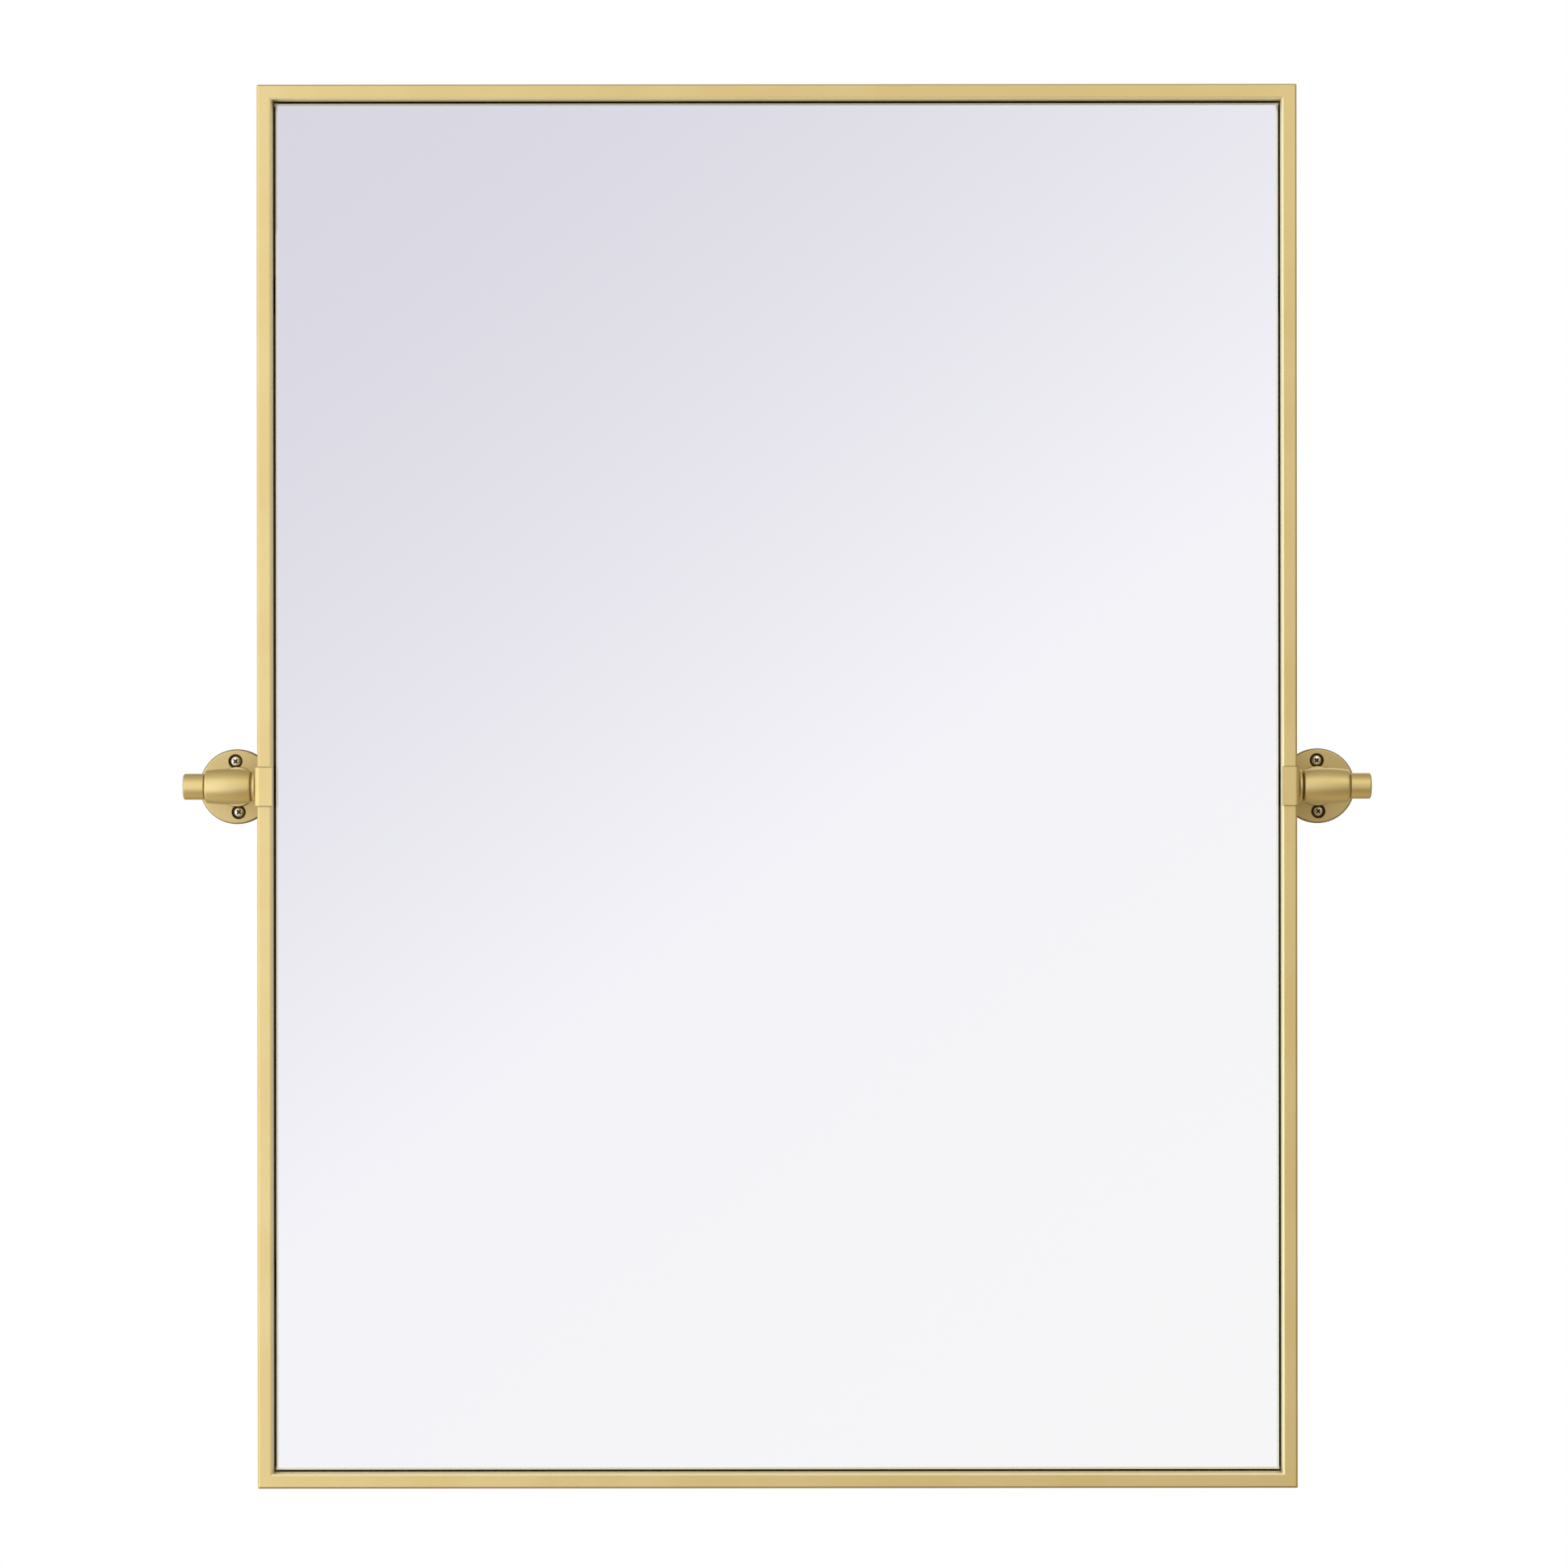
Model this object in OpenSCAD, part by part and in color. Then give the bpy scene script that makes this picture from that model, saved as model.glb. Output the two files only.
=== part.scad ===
// Pivot wall mirror: a framed mirror hung between two wall brackets, tilting on a level axis.
// Millimetres. The origin lies on the wall, midway between the brackets, level with the pivot.
// +X is to the right, the front faces -Y and +Z is up. The wall fills y > 0.

/* [Frame] */
// Width of the frame
frame_w = 600; // [300:1:900]
// Height of the frame
frame_h = 810; // [450:1:1200]
// Width of a rail, seen from the front
rail_w = 8.6; // [8.2:0.1:16]
// Depth of a rail, front to back
rail_d = 25; // [24.5:0.5:40]
// Wall of the rail's box tube
rail_wall = 1.2; // [0.8:0.1:1.4]
// Radius along the rail's four edges
rail_edge_r = 1.3; // [1.3:0.1:2.5]
// Radius of the frame's ground corners
frame_corner_r = 1; // [0.2:0.1:3]

/* [Glass and back] */
// Depth from the frame's front to the glass
glass_recess = 10; // [2:0.5:10.5]
// Thickness of the glass
glass_t = 5; // [3:0.5:5.5]
// Gap between the glass and each side rail
glass_side_gap = 1.3; // [0.3:0.1:2]
// Gap between the glass and the top rail
glass_top_gap = 1.1; // [0.3:0.1:2]
// Gap between the glass and the bottom rail
glass_bottom_gap = 1; // [0.3:0.1:2]
// Width of the seam ground along the front edges of the glass
seam_w = 1.3; // [0.4:0.1:3]
// Depth of that seam
seam_d = 0.7; // [0.3:0.1:2]
// Thickness of the bonding tape
tape_t = 1; // [0.5:0.1:1.5]
// Width of a strip of tape
tape_w = 25; // [10:1:50]
// Number of strips
tape_count = 5; // [2:1:8]
// Distance from the edges of the glass to the tape
tape_inset = 30; // [10:1:60]
// Thickness of the backing board
board_t = 5; // [4:0.5:5.5]
// Gap between the board and the rails
board_gap = 0.4; // [0.2:0.1:1.5]
// Radius of the board's corners
board_corner_r = 2; // [0.5:0.5:6]

/* [Board tabs] */
// Thickness of a tab
tab_t = 1.2; // [0.8:0.1:1.6]
// Length of a tab along its rail
tab_l = 22; // [12:1:40]
// Reach of a tab from its rail over the board
tab_reach = 16; // [12:1:30]
// Radius of a tab's free corners
tab_corner_r = 3; // [1:0.5:5]
// Distance from the frame's corner to the first tab
tab_inset = 120; // [40:1:140]
// Diameter of the tab screws
tab_screw_d = 3.5; // [2.5:0.1:4]
// Length of the tab screws in the board
tab_screw_bite = 4; // [2:0.5:4]
// Diameter of their heads
tab_head_d = 7; // [5:0.1:8]
// Height of their heads
tab_head_h = 1.8; // [1:0.1:2]

/* [Wall bumpers] */
// Diameter of a bumper
bumper_d = 7; // [4:0.5:8]
// Thickness of a bumper
bumper_t = 1.5; // [0.5:0.1:2]
// Distance from the frame's top or bottom to a bumper's centre
bumper_inset = 14; // [6:1:60]

/* [Saddle clips] */
// Height of a clip
clip_h = 22.4; // [14:0.2:40]
// Thickness of the bent strip
clip_t = 1.4; // [0.8:0.1:2.5]

/* [Pivot] */
// Distance from the wall to the pivot axis
standoff = 50; // [40:1:90]
// Diameter of the pivot stud
stud_d = 6; // [4:0.5:6]
// Diameter of the washer against the clip
clip_washer_d = 14; // [10:0.5:18]
// Thickness of that washer
clip_washer_t = 0.5; // [0.3:0.1:2]
// Diameter of the collar
collar_d = 18.4; // [12:0.2:24]
// Thickness of the collar
collar_t = 1.7; // [1.2:0.1:5]
// Radius of the collar's rim
collar_rim_r = 0.5; // [0.1:0.1:0.5]
// Diameter of the friction washer against the barrel
friction_washer_d = 15; // [10:0.5:18]
// Thickness of the friction washer
friction_washer_t = 1; // [0.3:0.1:2]
// Thickness of the nut inside the rail
nut_t = 5; // [3:0.1:5.2]
// Width of the nut across its flats
nut_af = 10; // [9:0.5:13]

/* [Arms] */
// Length of the barrel
barrel_l = 26.5; // [22:0.5:50]
// Diameter of the barrel at its middle
barrel_d = 20.5; // [19:0.1:30]
// Diameter to which its crown falls at the ends
barrel_end_d = 18.5; // [17:0.1:18.8]
// Radius of the shoulder at the knob's end
shoulder_r = 1.6; // [0.5:0.1:2.5]
// Radius of the edge at the mirror's end
barrel_edge_r = 1.1; // [0.3:0.1:2.5]
// Diameter of the post's neck
neck_d = 15; // [12:0.5:17]
// Diameter of the post's foot
foot_d = 23; // [19:0.5:23]
// Thickness of the foot's rim
foot_rim = 1.2; // [0.6:0.1:4]

/* [Knobs] */
// Diameter of a knob
knob_d = 15; // [13:0.5:18]
// Length of a knob
knob_l = 11.9; // [9:0.1:30]
// Radius of the knob's outer edge
knob_edge_r = 1.1; // [0.3:0.1:3]
// Radius of the knob's inner edge
knob_root_r = 0.4; // [0.2:0.1:1]
// Depth of the stud's seat in the knob
knob_seat = 7; // [4:0.5:7.5]
// Diameter of the washer under the knob
knob_washer_d = 12.5; // [9:0.5:13]
// Thickness of the washer under the knob
knob_washer_t = 0.5; // [0.3:0.1:1.5]

/* [Rosettes] */
// Diameter of a rosette
rosette_d = 44; // [42:0.5:70]
// Thickness of a rosette
rosette_t = 4; // [3.6:0.1:8]
// Radius of the rosette's front edge
rosette_edge_r = 1.2; // [0.3:0.1:2]
// Diameter of the circle through the two wall screws
screw_circle_d = 30; // [30:0.5:32]
// Lean of the left screws' line from upright, in degrees
lean_left = 3.6; // [-10:0.1:10]
// Lean of the right screws' line from upright, in degrees
lean_right = 1.7; // [-10:0.1:10]
// Diameter of the arm screw
arm_screw_d = 5; // [4:0.5:6]
// Diameter of its countersunk head
arm_head_d = 9.6; // [8.5:0.1:10]
// Length of the arm screw in the post
arm_screw_bite = 9; // [5:0.5:20]

/* [Wall screws] */
// Diameter of the wall screws
wall_screw_d = 3.5; // [3:0.1:4]
// Length of the wall screws under the head
wall_screw_l = 38; // [20:1:70]
// Diameter of the plain neck between head and thread
wall_neck_d = 2.7; // [2:0.1:2.9]
// Diameter of the head
wall_head_d = 6.2; // [5.4:0.1:7]
// Height of the head
wall_head_h = 1.9; // [1.6:0.1:2.1]
// Diameter of the counterbore round the head
counterbore_d = 8.4; // [7.4:0.1:9]
// Depth of the counterbore
counterbore_depth = 2.2; // [1.9:0.1:2.8]

/* [Fits] */
// Radial clearance of the stud in the barrel and the nut
running_fit = 0.05; // [0.02:0.01:0.1]
// Radial clearance of screws and the stud in plain holes
hole_clearance = 0.3; // [0.2:0.05:0.5]
// Gap between the faces that slide on each other at the pivot
thrust_gap = 0.05; // [0.02:0.01:0.3]
// Gap between the clip and its rail
clip_fit = 0.1; // [0.05:0.05:0.3]
// Clearance of a screw in the thread that it cuts
thread_fit = 0.05; // [0.02:0.01:0.1]

/* [Hidden] */
$fn = 96;

// Extra length by which a cutting shape passes the surface that it cuts
cut = 1;

// Diameter left at the very tip of a wall screw
screw_tip_d = 0.4;

// Colours
gold = "#d9c283";
steel = "#b9bcc0";
screw_brass = "#d8c79a";
nylon = "#2a2825";
mirror_tone = "#dfe0ea";
board_tone = "#1d1c1a";
tape_tone = "#3a3a3c";
rubber_tone = "#cfd2d4";

// Places across the depth
axis_y = -standoff;
front_y = axis_y - rail_d / 2;
back_y = axis_y + rail_d / 2;
glass_y = front_y + glass_recess;
tape_y = glass_y + glass_t;
board_y = tape_y + tape_t;
tab_y = board_y + board_t;

// Places outward from the mirror's middle, along the pivot axis
side_x = frame_w / 2;
inner_x = side_x - rail_w;
nut_x = side_x - rail_wall - nut_t;
stud_tip_x = nut_x - (rail_w - 2 * rail_wall - nut_t) / 2;
clip_x = side_x + clip_fit + clip_t;
collar_x = clip_x + clip_washer_t;
friction_x = collar_x + collar_t + thrust_gap;
barrel_x = friction_x + friction_washer_t;
bracket_x = barrel_x + barrel_l / 2;
knob_washer_x = barrel_x + barrel_l;
knob_x = knob_washer_x + knob_washer_t + thrust_gap;

// Inside of the frame and outline of the glass
inner_z = frame_h / 2 - rail_w;
glass_w = 2 * (inner_x - glass_side_gap);
glass_top = inner_z - glass_top_gap;
glass_bottom = -inner_z + glass_bottom_gap;
glass_h = glass_top - glass_bottom;
glass_mid = (glass_top + glass_bottom) / 2;

// The barrel's crown is an arc of this radius
crown_fall = (barrel_d - barrel_end_d) / 2;
crown_r = (barrel_l * barrel_l / 4 + crown_fall * crown_fall) / (2 * crown_fall);

// ---------- shared shapes ----------

// Draws its children on the right as they stand, or mirrored on the left
module on_side(side) {
    if (side < 0) mirror([1, 0, 0]) children();
    else children();
}

// Stands a drawing made in x and z up as a plate from y to y + t
module plate(y, t) {
    translate([0, y + t, 0])
        rotate([90, 0, 0])
            linear_extrude(t) children();
}

// A round bar along X
module bar_x(x, length, d) {
    translate([x, axis_y, 0])
        rotate([0, 90, 0])
            cylinder(h = length, d = d);
}

// A round bar along Y at the origin
module bar_y(y, length, d) {
    translate([0, y + length, 0])
        rotate([90, 0, 0])
            cylinder(h = length, d = d);
}

// A rectangle from [x, y] with rounded corners
module round_rect(x, y, w, h, r) {
    translate([x + r, y]) square([w - 2 * r, h]);
    translate([x, y + r]) square([w, h - 2 * r]);
    for (cx = [x + r, x + w - r], cy = [y + r, y + h - r])
        translate([cx, cy]) circle(r = r);
}

// Turns a profile drawn as [distance along the pivot axis, radius] about that axis
module turned_x(x) {
    translate([x, axis_y, 0])
        rotate([0, 90, 0])
            rotate_extrude() rotate(90) mirror([0, 1]) children();
}

// Turns a profile drawn as [radius, height off the wall] about an axis that leaves the wall
module turned_y() {
    rotate([90, 0, 0]) rotate_extrude() children();
}

// A flat washer on the pivot axis
module washer(x, t, d) {
    difference() {
        bar_x(x, t, d);
        bar_x(x - cut, t + 2 * cut, stud_d + 2 * hole_clearance);
    }
}

// Cross-shaped recess of a screw head, cut down from height z
module cross_recess(z, d) {
    slot = d * 0.17;
    for (a = [45, 135])
        rotate(a)
            translate([-d * 0.3, -slot / 2, z - d * 0.2])
                cube([d * 0.6, slot, d * 0.2 + cut]);
}

// Pan head of a screw standing on z = 0
module pan_head(d, h) {
    crown = h * 0.55;
    dome_r = (d * d / 4 + crown * crown) / (2 * crown);
    difference() {
        intersection() {
            cylinder(h = h, d = d);
            translate([0, 0, h - dome_r]) sphere(r = dome_r);
        }
        cross_recess(h, d);
    }
}

// ---------- frame ----------

// Cross-section of a rail: the outer face at x = 0, the front towards -y
module rail_section() {
    difference() {
        round_rect(0, -rail_d / 2, rail_w, rail_d, rail_edge_r);
        translate([rail_wall, rail_wall - rail_d / 2])
            square([rail_w - 2 * rail_wall, rail_d - 2 * rail_wall]);
    }
}

// Front view of one side rail with its mitres, inside the frame's rounded outline
module side_mitre() {
    intersection() {
        round_rect(-side_x, -frame_h / 2, frame_w, frame_h, frame_corner_r);
        polygon([
            [side_x + cut, -frame_h / 2 - cut],
            [side_x + cut, frame_h / 2 + cut],
            [inner_x - cut, inner_z - cut],
            [inner_x - cut, -inner_z + cut]
        ]);
    }
}

// Front view of the top rail with its mitres
module top_mitre() {
    intersection() {
        round_rect(-side_x, -frame_h / 2, frame_w, frame_h, frame_corner_r);
        polygon([
            [-side_x - cut, frame_h / 2 + cut],
            [-inner_x + cut, inner_z - cut],
            [inner_x - cut, inner_z - cut],
            [side_x + cut, frame_h / 2 + cut]
        ]);
    }
}

module side_rail() {
    difference() {
        intersection() {
            translate([side_x, axis_y, 0])
                mirror([1, 0, 0])
                    linear_extrude(frame_h, center = true) rail_section();
            plate(front_y - cut, rail_d + 2 * cut) side_mitre();
        }
        bar_x(side_x - rail_wall - cut, rail_wall + 2 * cut, stud_d + 2 * hole_clearance);
    }
}

module level_rail() {
    intersection() {
        translate([0, axis_y, frame_h / 2])
            rotate([0, 90, 0])
                linear_extrude(frame_w, center = true) rail_section();
        plate(front_y - cut, rail_d + 2 * cut) top_mitre();
    }
}

module top_rail() {
    color(gold) level_rail();
}

module bottom_rail() {
    color(gold) mirror([0, 0, 1]) level_rail();
}

module left_rail() {
    color(gold) on_side(-1) side_rail();
}

module right_rail() {
    color(gold) on_side(1) side_rail();
}

// ---------- glass and back ----------

// Outline of a sheet with its front edges ground, drawn as [across, depth]
module seamed_section(lo, hi) {
    polygon([
        [lo, glass_y + seam_d],
        [lo + seam_w, glass_y],
        [hi - seam_w, glass_y],
        [hi, glass_y + seam_d],
        [hi, tape_y],
        [lo, tape_y]
    ]);
}

module mirror_glass() {
    color(mirror_tone)
        intersection() {
            translate([0, 0, glass_mid])
                linear_extrude(glass_h + 2 * cut, center = true)
                    seamed_section(-glass_w / 2, glass_w / 2);
            rotate([90, 0, 90])
                linear_extrude(glass_w + 2 * cut, center = true)
                    mirror([1, -1]) seamed_section(glass_bottom, glass_top);
        }
}

module glass_tape() {
    span = glass_w - 2 * tape_inset - tape_w;
    color(tape_tone)
        for (i = [0 : tape_count - 1])
            plate(tape_y, tape_t)
                translate([-glass_w / 2 + tape_inset + i * span / (tape_count - 1), 0])
                    translate([0, glass_bottom + tape_inset])
                        square([tape_w, glass_h - 2 * tape_inset]);
}

// Centres of the tabs along the side rails and the level rails
side_tab_z = [-frame_h / 2 + tab_inset, 0, frame_h / 2 - tab_inset];
level_tab_x = [-frame_w / 2 + tab_inset, frame_w / 2 - tab_inset];

// Puts its children at the root of every tab, drawn with +Y pointing away from the rail
module at_tabs() {
    for (side = [-1, 1], z = side_tab_z)
        translate([side * inner_x, z]) rotate(side * 90) children();
    for (side = [-1, 1], x = level_tab_x)
        translate([x, side * inner_z]) rotate(side > 0 ? 180 : 0) children();
}

// One tab, rooted on its rail at y = 0
module tab_outline() {
    difference() {
        union() {
            translate([-tab_l / 2, 0]) square([tab_l, tab_reach - tab_corner_r]);
            translate([-tab_l / 2 + tab_corner_r, 0])
                square([tab_l - 2 * tab_corner_r, tab_reach]);
            for (side = [-1, 1])
                translate([side * (tab_l / 2 - tab_corner_r), tab_reach - tab_corner_r])
                    circle(r = tab_corner_r);
        }
        translate([0, tab_reach / 2]) circle(d = tab_screw_d + 2 * hole_clearance);
    }
}

module board_tabs() {
    color(steel)
        plate(tab_y, tab_t) at_tabs() tab_outline();
}

module backing_board() {
    color(board_tone)
        difference() {
            plate(board_y, board_t)
                round_rect(
                    -inner_x + board_gap, -inner_z + board_gap,
                    2 * (inner_x - board_gap), 2 * (inner_z - board_gap), board_corner_r
                );
            plate(tab_y - tab_screw_bite - thread_fit, tab_screw_bite + cut)
                at_tabs()
                    translate([0, tab_reach / 2]) circle(d = tab_screw_d + 2 * thread_fit);
        }
}

// Stands its children, drawn upright along +Z, on the tab screws' places, pointing backwards
module on_tabs(y) {
    for (side = [-1, 1], z = side_tab_z)
        translate([side * (inner_x - tab_reach / 2), y, z]) rotate([-90, 0, 0]) children();
    for (side = [-1, 1], x = level_tab_x)
        translate([x, y, side * (inner_z - tab_reach / 2)]) rotate([-90, 0, 0]) children();
}

module tab_screws() {
    color(steel)
        on_tabs(tab_y + tab_t) {
            pan_head(tab_head_d, tab_head_h);
            translate([0, 0, -tab_t - tab_screw_bite])
                cylinder(h = tab_t + tab_screw_bite, d = tab_screw_d);
        }
}

module wall_bumpers() {
    color(rubber_tone)
        for (side = [-1, 1], up = [-1, 1])
            translate([side * (side_x - rail_w / 2), back_y, up * (frame_h / 2 - bumper_inset)])
                rotate([-90, 0, 0])
                    intersection() {
                        cylinder(h = bumper_t, d = bumper_d);
                        translate([0, 0, bumper_t - bumper_d]) sphere(r = bumper_d);
                    }
}

// ---------- saddle clips, nuts and collars ----------

module clip() {
    outer_r = rail_edge_r + clip_fit + clip_t;
    inner_r = rail_edge_r + clip_fit;
    wrap_d = rail_d + 2 * (clip_fit + clip_t);
    difference() {
        translate([clip_x, axis_y, 0])
            mirror([1, 0, 0])
                linear_extrude(clip_h, center = true)
                    intersection() {
                        difference() {
                            round_rect(0, -wrap_d / 2, rail_w * 2, wrap_d, outer_r);
                            round_rect(
                                clip_t, clip_t - wrap_d / 2,
                                rail_w * 2, wrap_d - 2 * clip_t, inner_r
                            );
                        }
                        translate([0, -wrap_d / 2]) square([clip_x - inner_x, wrap_d]);
                    }
        bar_x(side_x - cut, clip_t + 2 * cut, stud_d + 2 * hole_clearance);
    }
}

// The nut sits against the inside of the rail's outer wall
module rail_nut() {
    difference() {
        translate([nut_x, axis_y, 0])
            rotate([0, 90, 0])
                cylinder(h = nut_t, d = nut_af / cos(30), $fn = 6);
        bar_x(nut_x - cut, nut_t + 2 * cut, stud_d + 2 * running_fit);
    }
}

module collar() {
    difference() {
        turned_x(collar_x)
            intersection() {
                round_rect(0, -collar_d / 2, collar_t, collar_d, collar_rim_r);
                square([collar_t, collar_d]);
            }
        bar_x(collar_x - cut, collar_t + 2 * cut, stud_d + 2 * hole_clearance);
    }
}

module left_clip() {
    color(gold) on_side(-1) clip();
}

module right_clip() {
    color(gold) on_side(1) clip();
}

module left_clip_washer() {
    color(nylon) on_side(-1) washer(clip_x, clip_washer_t, clip_washer_d);
}

module right_clip_washer() {
    color(nylon) on_side(1) washer(clip_x, clip_washer_t, clip_washer_d);
}

module left_collar() {
    color(gold) on_side(-1) collar();
}

module right_collar() {
    color(gold) on_side(1) collar();
}

module left_rail_nut() {
    color(steel) on_side(-1) rail_nut();
}

module right_rail_nut() {
    color(steel) on_side(1) rail_nut();
}

// ---------- knobs and studs ----------

module knob() {
    difference() {
        turned_x(knob_x)
            difference() {
                square([knob_l, knob_d / 2]);
                // outer edge
                translate([knob_l - knob_edge_r, knob_d / 2 - knob_edge_r])
                    difference() {
                        square(knob_edge_r + cut);
                        circle(r = knob_edge_r);
                    }
                // edge at the barrel
                translate([knob_root_r, knob_d / 2 - knob_root_r])
                    difference() {
                        translate([-knob_root_r - cut, 0]) square(knob_root_r + cut);
                        circle(r = knob_root_r);
                    }
            }
        bar_x(knob_x - cut, knob_seat + cut, stud_d);
    }
}

module stud() {
    bar_x(stud_tip_x, knob_x + knob_seat - stud_tip_x, stud_d);
}

module left_knob() {
    color(gold) on_side(-1) knob();
}

module right_knob() {
    color(gold) on_side(1) knob();
}

module left_stud() {
    color(steel) on_side(-1) stud();
}

module right_stud() {
    color(steel) on_side(1) stud();
}

// ---------- arms ----------

// Half profile of the barrel, from the mirror's end to the knob's end, with its crown
module barrel_profile() {
    mid = barrel_l / 2;
    drop = crown_r - barrel_d / 2;
    difference() {
        intersection() {
            square([barrel_l, barrel_d]);
            translate([mid, -drop]) circle(r = crown_r);
        }
        barrel_end_cut(0, barrel_edge_r, drop);
        barrel_end_cut(barrel_l, shoulder_r, drop);
    }
}

// What the rounding of radius r takes off the corner at the end x of the profile
module barrel_end_cut(x, r, drop) {
    mid = barrel_l / 2;
    way = x < mid ? -1 : 1;
    cx = x - way * r;
    rise = sqrt((crown_r - r) * (crown_r - r) - (mid - r) * (mid - r));
    cy = rise - drop;
    lean = atan2(way * (mid - r), rise);
    translate([cx, cy])
        difference() {
            polygon([
                [0, 0],
                [way * (r + cut), 0],
                [way * (r + cut), r + cut],
                [(r + cut) * sin(lean), (r + cut) * cos(lean)]
            ]);
            circle(r = r);
        }
}

// Half profile of the post, from the rosette's face to the barrel's axis
module post_profile() {
    cove = (foot_d - neck_d) / 2;
    translate([0, rosette_t]) {
        square([neck_d / 2, standoff - rosette_t]);
        square([foot_d / 2, foot_rim]);
        difference() {
            translate([0, foot_rim]) square([foot_d / 2, cove]);
            translate([foot_d / 2, foot_rim + cove]) circle(r = cove);
        }
    }
}

module pivot_arm() {
    difference() {
        union() {
            turned_x(barrel_x) barrel_profile();
            translate([bracket_x, 0, 0]) turned_y() post_profile();
        }
        bar_x(barrel_x - cut, barrel_l + 2 * cut, stud_d + 2 * running_fit);
        translate([bracket_x, 0, 0])
            bar_y(
                -rosette_t - arm_screw_bite - cut,
                arm_screw_bite + 2 * cut, arm_screw_d + 2 * thread_fit
            );
    }
}

module left_pivot_arm() {
    color(gold) on_side(-1) pivot_arm();
}

module right_pivot_arm() {
    color(gold) on_side(1) pivot_arm();
}

module left_friction_washer() {
    color(nylon) on_side(-1) washer(friction_x, friction_washer_t, friction_washer_d);
}

module right_friction_washer() {
    color(nylon) on_side(1) washer(friction_x, friction_washer_t, friction_washer_d);
}

module left_knob_washer() {
    color(nylon) on_side(-1) washer(knob_washer_x, knob_washer_t, knob_washer_d);
}

module right_knob_washer() {
    color(nylon) on_side(1) washer(knob_washer_x, knob_washer_t, knob_washer_d);
}

// ---------- rosettes and their screws ----------

// The screws' line leans by this angle, its top towards -X
module at_rosette(side, lean) {
    translate([side * bracket_x, 0, 0]) rotate([0, -lean, 0]) children();
}

// Puts its children at the two wall screws
module at_wall_screws() {
    for (side = [-1, 1])
        translate([0, 0, side * screw_circle_d / 2]) children();
}

module rosette() {
    difference() {
        turned_y()
            difference() {
                square([rosette_d / 2, rosette_t]);
                translate([rosette_d / 2 - rosette_edge_r, rosette_t - rosette_edge_r])
                    difference() {
                        square(rosette_edge_r + cut);
                        circle(r = rosette_edge_r);
                    }
            }
        at_wall_screws() {
            bar_y(-rosette_t - cut, rosette_t + 2 * cut, wall_screw_d + 2 * hole_clearance);
            bar_y(-rosette_t - cut, counterbore_depth + cut, counterbore_d);
        }
        bar_y(-rosette_t - cut, rosette_t + 2 * cut, arm_screw_d + 2 * hole_clearance);
        arm_head(hole_clearance);
    }
}

// Countersunk head of the arm screw, its face on the wall plane, grown by a clearance
module arm_head(grow) {
    depth = (arm_head_d - arm_screw_d) / 2;
    turned_y()
        polygon([
            [0, -grow],
            [arm_head_d / 2 + grow, -grow],
            [arm_head_d / 2 + grow, 0],
            [arm_screw_d / 2 + grow, depth],
            [0, depth]
        ]);
}

module arm_screw() {
    difference() {
        union() {
            arm_head(0);
            bar_y(-rosette_t - arm_screw_bite, rosette_t + arm_screw_bite, arm_screw_d);
        }
        rotate([-90, 0, 0]) cross_recess(0, arm_head_d);
    }
}

// One wall screw: its head seated in the counterbore, its neck in the rosette, its thread in the wall
module wall_screw() {
    seat_y = counterbore_depth - rosette_t;
    tip_l = wall_screw_d * 1.3;
    thread_l = wall_screw_l + seat_y - tip_l;
    translate([0, seat_y, 0])
        rotate([90, 0, 0]) pan_head(wall_head_d, wall_head_h);
    bar_y(seat_y, thread_l / 2 - seat_y, wall_neck_d);
    bar_y(0, thread_l, wall_screw_d);
    translate([0, thread_l, 0])
        rotate([-90, 0, 0])
            cylinder(h = tip_l, d1 = wall_screw_d, d2 = screw_tip_d);
}

module left_rosette() {
    color(gold) at_rosette(-1, lean_left) rosette();
}

module right_rosette() {
    color(gold) at_rosette(1, lean_right) rosette();
}

module left_wall_screws() {
    color(screw_brass) at_rosette(-1, lean_left) at_wall_screws() wall_screw();
}

module right_wall_screws() {
    color(screw_brass) at_rosette(1, lean_right) at_wall_screws() wall_screw();
}

module left_arm_screw() {
    color(steel) at_rosette(-1, lean_left) arm_screw();
}

module right_arm_screw() {
    color(steel) at_rosette(1, lean_right) arm_screw();
}

left_rosette();
left_wall_screws();
left_pivot_arm();
left_arm_screw();
left_friction_washer();
left_knob_washer();
right_rosette();
right_wall_screws();
right_pivot_arm();
right_arm_screw();
right_friction_washer();
right_knob_washer();
top_rail();
bottom_rail();
left_rail();
right_rail();
mirror_glass();
glass_tape();
backing_board();
board_tabs();
tab_screws();
wall_bumpers();
left_clip();
left_clip_washer();
left_collar();
left_rail_nut();
right_clip();
right_clip_washer();
right_collar();
right_rail_nut();
left_knob();
left_stud();
right_knob();
right_stud();
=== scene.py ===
import math

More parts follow.
